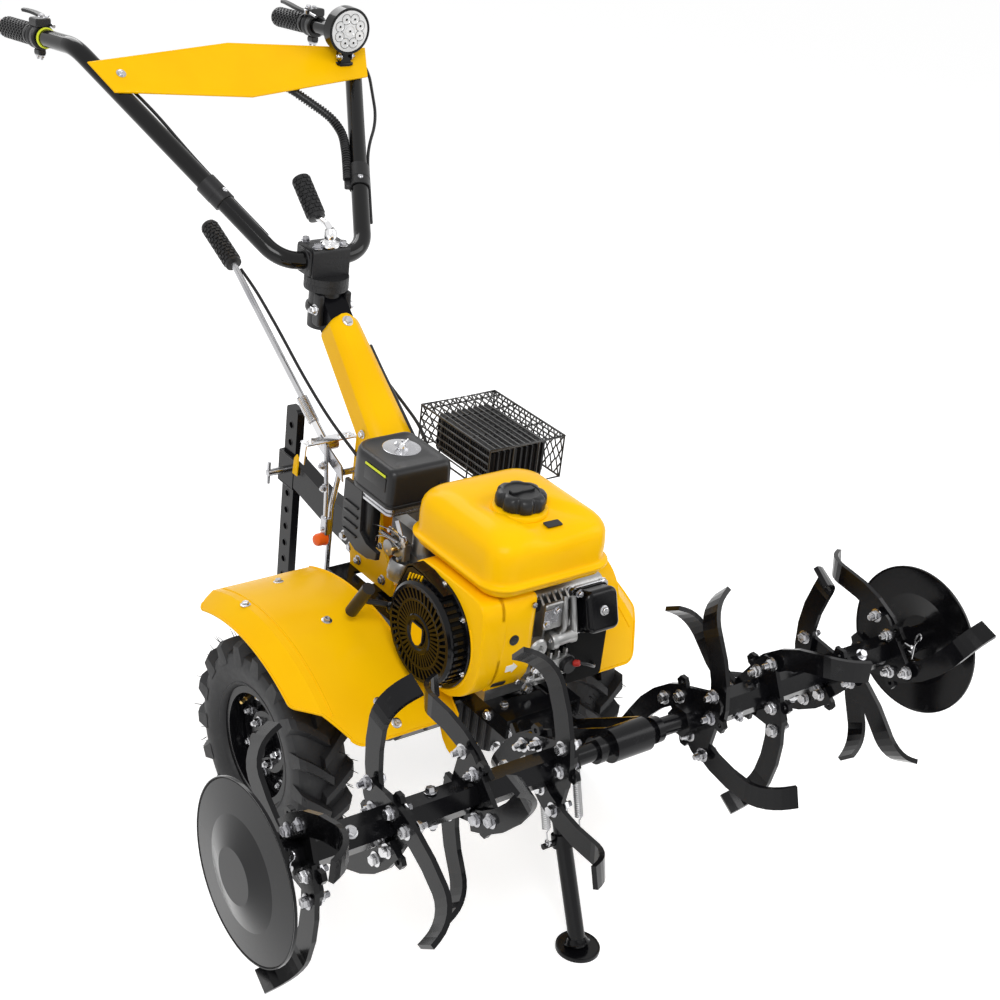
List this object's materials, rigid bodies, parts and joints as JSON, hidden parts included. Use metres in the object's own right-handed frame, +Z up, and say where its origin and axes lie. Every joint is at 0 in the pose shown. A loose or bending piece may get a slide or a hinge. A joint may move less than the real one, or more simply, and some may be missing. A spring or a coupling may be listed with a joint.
{
  "type": "garden tiller",
  "caption": "Walk-behind garden tiller: petrol engine over two driven wheels, front tine rotor, folding stand and a swivelling, tilting handlebar.",
  "frame": {"origin": "on the ground at the centre of the machine's bounding box, midway between rotor tips and handlebar grips", "axes": "+X to the machine's left, -Y forward to the tine rotor, +Y back to the handlebar grips, +Z up"},
  "size_m": [1.35, 1.8411, 1.246],
  "materials": {
    "air_cleaner": "moulded",
    "belt_guard": "yellow enamel",
    "blower_housing": "yellow enamel",
    "cables_chassis": "black sheath",
    "cables_handlebar": "black sheath",
    "carburettor": "die cast",
    "clamp_lever": "zinc with black grip",
    "cleaner_base": "pressed steel",
    "column": "yellow enamel",
    "column_cover": "yellow enamel",
    "conduit": "corrugated sleeve",
    "cross_panel": "yellow enamel",
    "cylinder_fins": "cast aluminium",
    "drag_bar": "black enamel",
    "engine_bed": "black enamel",
    "engine_block": "cast aluminium",
    "fender_arms": "yellow enamel",
    "fender_left": "yellow enamel",
    "fender_right": "yellow enamel",
    "front_bracket": "black enamel",
    "fuel_cap": "moulded",
    "fuel_tank": "yellow enamel",
    "gear_lever": "zinc",
    "gear_linkage": "zinc",
    "gearbox": "painted black casting",
    "grips": "moulded rubber",
    "guard_discs": "black enamel",
    "hand_controls": "moulded",
    "handlebar_tube": "black enamel",
    "hitch_arm": "black enamel",
    "hitch_bolt": "zinc",
    "hub_left": "gloss black",
    "hub_right": "gloss black",
    "lamp": "black housing with a clear lens",
    "muffler": "heat-proof black",
    "muffler_guard": "black wire",
    "recoil_cover": "black enamel",
    "recoil_handle": "moulded",
    "rim_left": "gloss black",
    "rim_right": "gloss black",
    "rocker_cover": "black crinkle",
    "rotor_shaft": "black enamel",
    "spark_plug_boot": "moulded rubber",
    "stand_leg": "black enamel",
    "stand_springs": "dark spring steel",
    "swivel_head": "black enamel",
    "swivel_socket": "black enamel",
    "tank_brackets": "black",
    "tine_plates": "black enamel",
    "tines_left": "black enamel",
    "tines_right": "black enamel",
    "tyre_left": "moulded lugged rubber",
    "tyre_right": "moulded lugged rubber"
  },
  "bodies": {
    "chassis": {"air_cleaner": "air_cleaner", "belt_guard": "belt_guard", "blower_housing": "blower_housing", "cables_chassis": "cables_chassis", "carburettor": "carburettor", "cleaner_base": "cleaner_base", "column": "column", "column_cover": "column_cover", "cylinder_fins": "cylinder_fins", "drag_bar": "drag_bar", "engine_bed": "engine_bed", "engine_block": "engine_block", "fender_arms": "fender_arms", "fender_left": "fender_left", "fender_right": "fender_right", "front_bracket": "front_bracket", "fuel_cap": "fuel_cap", "fuel_tank": "fuel_tank", "gear_lever": "gear_lever", "gear_linkage": "gear_linkage", "gearbox": "gearbox", "hitch_arm": "hitch_arm", "hitch_bolt": "hitch_bolt", "muffler": "muffler", "muffler_guard": "muffler_guard", "recoil_cover": "recoil_cover", "recoil_handle": "recoil_handle", "rocker_cover": "rocker_cover", "spark_plug_boot": "spark_plug_boot", "swivel_socket": "swivel_socket", "tank_brackets": "tank_brackets"},
    "wheel_left": {"tyre_left": "tyre_left", "rim_left": "rim_left", "hub_left": "hub_left"},
    "wheel_right": {"tyre_right": "tyre_right", "rim_right": "rim_right", "hub_right": "hub_right"},
    "tine_rotor": {"rotor_shaft": "rotor_shaft", "tine_plates": "tine_plates", "tines_left": "tines_left", "tines_right": "tines_right", "guard_discs": "guard_discs"},
    "stand": {"stand_leg": "stand_leg", "stand_springs": "stand_springs"},
    "swivel": {"swivel_head": "swivel_head", "clamp_lever": "clamp_lever"},
    "handlebar": {"handlebar_tube": "handlebar_tube", "cross_panel": "cross_panel", "grips": "grips", "hand_controls": "hand_controls", "lamp": "lamp", "cables_handlebar": "cables_handlebar", "conduit": "conduit"}
  },
  "joints": [
    {"name": "wheel_left_spin", "type": "hinge", "parent": "chassis", "child": "wheel_left", "pos_m": [0.29, -0.1797, 0.188], "axis": [1, 0, 0], "continuous": true},
    {"name": "wheel_right_spin", "type": "hinge", "parent": "chassis", "child": "wheel_right", "pos_m": [-0.29, -0.1797, 0.188], "axis": [1, 0, 0], "continuous": true},
    {"name": "rotor_spin", "type": "hinge", "parent": "chassis", "child": "tine_rotor", "pos_m": [0, -0.7217, 0.432], "axis": [1, 0, 0], "continuous": true},
    {"name": "stand_fold", "type": "hinge", "parent": "chassis", "child": "stand", "pos_m": [0, -0.5677, 0.288], "axis": [1, 0, 0], "range_deg": [0, 75], "deforming": ["stand_springs"]},
    {"name": "handlebar_swing", "type": "hinge", "parent": "chassis", "child": "swivel", "pos_m": [0, 0.2053, 0.846], "axis": [0, 0, 1], "range_deg": [-30, 30]},
    {"name": "handlebar_tilt", "type": "hinge", "parent": "swivel", "child": "handlebar", "pos_m": [0, 0.2203, 0.884], "axis": [1, 0, 0], "range_deg": [-15, 10]}
  ]
}
